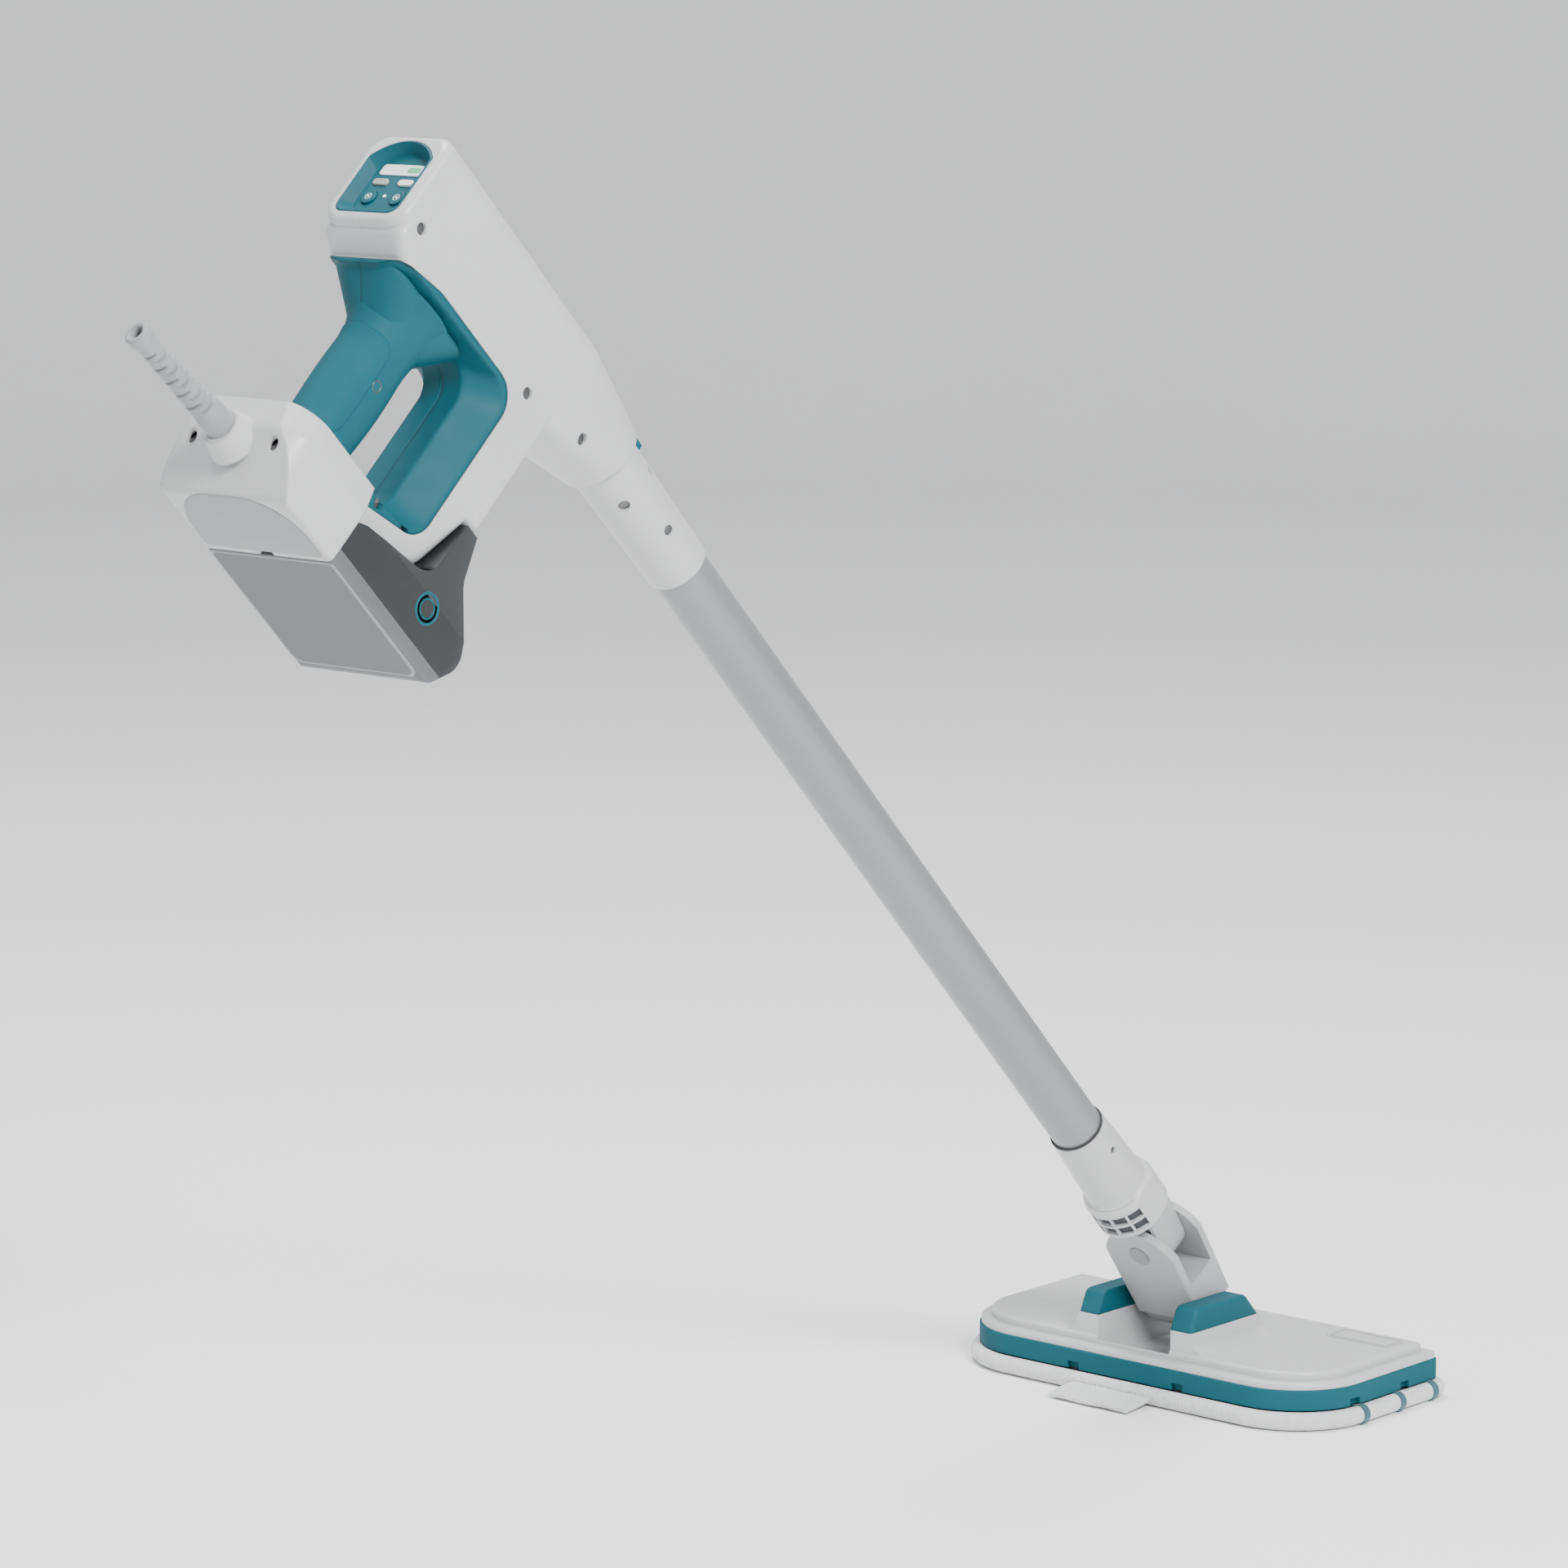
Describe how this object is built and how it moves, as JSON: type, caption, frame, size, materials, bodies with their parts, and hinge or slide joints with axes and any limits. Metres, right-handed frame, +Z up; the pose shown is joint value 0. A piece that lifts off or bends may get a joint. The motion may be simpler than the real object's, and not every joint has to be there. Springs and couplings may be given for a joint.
{
  "type": "steam mop",
  "caption": "upright steam mop: flat steam head with a microfibre pad and saddle caps, two-way hinge, round pole, and a hand unit with a D handle, control panel and pull-off water tank",
  "frame": {"origin": "centre of the pad's underside, where it rests on the floor", "axes": "+X along the head's long side, -Y towards the user, +Z up"},
  "size_m": [0.3, 0.9646, 0.8083],
  "materials": {
    "white_case": "satin white moulded plastic",
    "teal": "matte teal moulded plastic",
    "teal_rubber": "matte teal soft-touch rubber",
    "dark": "matte dark grey plastic",
    "grey": "matte grey plastic",
    "light_grey": "matte light grey plastic",
    "rubber": "matte black rubber",
    "grey_rubber": "matte light grey rubber",
    "tube": "satin painted tube",
    "steel": "plain steel",
    "tank": "smoked clear plastic",
    "tank_end": "frosted clear plastic",
    "display": "gloss clear-coated window",
    "key_white": "gloss white plastic",
    "pad": "white microfibre pile",
    "pad_teal": "woven teal tape",
    "brass": "plain brass",
    "hose": "matte grey silicone hose",
    "board": "green circuit board"
  },
  "bodies": {
    "head": {"mop_pad": "pad", "pad_tab": "pad", "pad_bands": "pad_teal", "head_shell": "white_case", "bumper_ring": "teal_rubber", "sole_plate": "dark", "hook_strips": "dark", "head_screws": "steel", "steam_manifold": "dark", "badge_plate": "white_case", "hinge_pins": "steel", "saddle_cap_right": "teal", "saddle_cap_left": "teal"},
    "yoke": {"yoke": "light_grey", "pivot_pin": "steel", "pivot_caps": "light_grey"},
    "pole": {"lower_connector": "white_case", "neck_tongue": "light_grey", "tube_ring": "rubber", "pole_tube": "tube", "tube_screws": "steel", "steam_hose": "hose", "pole_sleeve": "white_case", "sleeve_screws": "steel"},
    "release": {"release_button": "teal"},
    "tank": {"water_tank": "tank", "tank_end": "tank_end", "filter_cartridge": "dark", "filter_rings": "teal", "filter_foot": "dark"},
    "mode_key": {"mode_key": "grey"},
    "power_key": {"power_key": "key_white"},
    "round_key_left": {"round_key_left": "teal"},
    "round_key_right": {"round_key_right": "teal"},
    "hand_unit": {"casing_right": "white_case", "casing_left": "white_case", "casing_screws": "steel", "nose_spigot": "dark", "spigot_seal": "rubber", "panel_tray": "teal", "display_window": "display", "control_board": "board", "top_strip": "dark", "boiler": "brass", "steam_pipe": "steel", "pump": "dark", "pump_pipe": "hose", "water_pipe": "hose", "liner_right": "teal", "liner_left": "teal", "liner_screws": "steel", "grip_inlay": "teal_rubber", "tank_hood": "white_case", "hood_screws": "steel", "strain_relief": "grey_rubber"}
  },
  "joints": [
    {"name": "pole_slide", "type": "slide", "parent": "hand_unit", "child": "pole", "axis": [0, 0.6904, -0.7234], "range_m": [0, 0.045]},
    {"name": "release_press", "type": "slide", "parent": "pole", "child": "release", "axis": [0, -0.7234, -0.6904], "range_m": [0, 0.0022], "stiffness_N_per_m": 900},
    {"name": "side_tilt", "type": "hinge", "parent": "pole", "child": "yoke", "pos_m": [0, -0.03995, 0.0995], "axis": [0, -0.8192, -0.5736], "range_deg": [-55, 55]},
    {"name": "head_pitch", "type": "hinge", "parent": "yoke", "child": "head", "pos_m": [0, -0.00284, 0.0465], "axis": [1, 0, 0], "range_deg": [-44, 37]},
    {"name": "tank_slide", "type": "slide", "parent": "hand_unit", "child": "tank", "axis": [0, -0.1269, -0.9919], "range_m": [0, 0.06]},
    {"name": "mode_key_press", "type": "slide", "parent": "hand_unit", "child": "mode_key", "axis": [0, 0.6904, -0.7234], "range_m": [0, 0.0008], "stiffness_N_per_m": 700},
    {"name": "power_key_press", "type": "slide", "parent": "hand_unit", "child": "power_key", "axis": [0, 0.6904, -0.7234], "range_m": [0, 0.0008], "stiffness_N_per_m": 700},
    {"name": "round_key_left_press", "type": "slide", "parent": "hand_unit", "child": "round_key_left", "axis": [0, 0.6904, -0.7234], "range_m": [0, 0.0008], "stiffness_N_per_m": 700},
    {"name": "round_key_right_press", "type": "slide", "parent": "hand_unit", "child": "round_key_right", "axis": [0, 0.6904, -0.7234], "range_m": [0, 0.0008], "stiffness_N_per_m": 700}
  ]
}
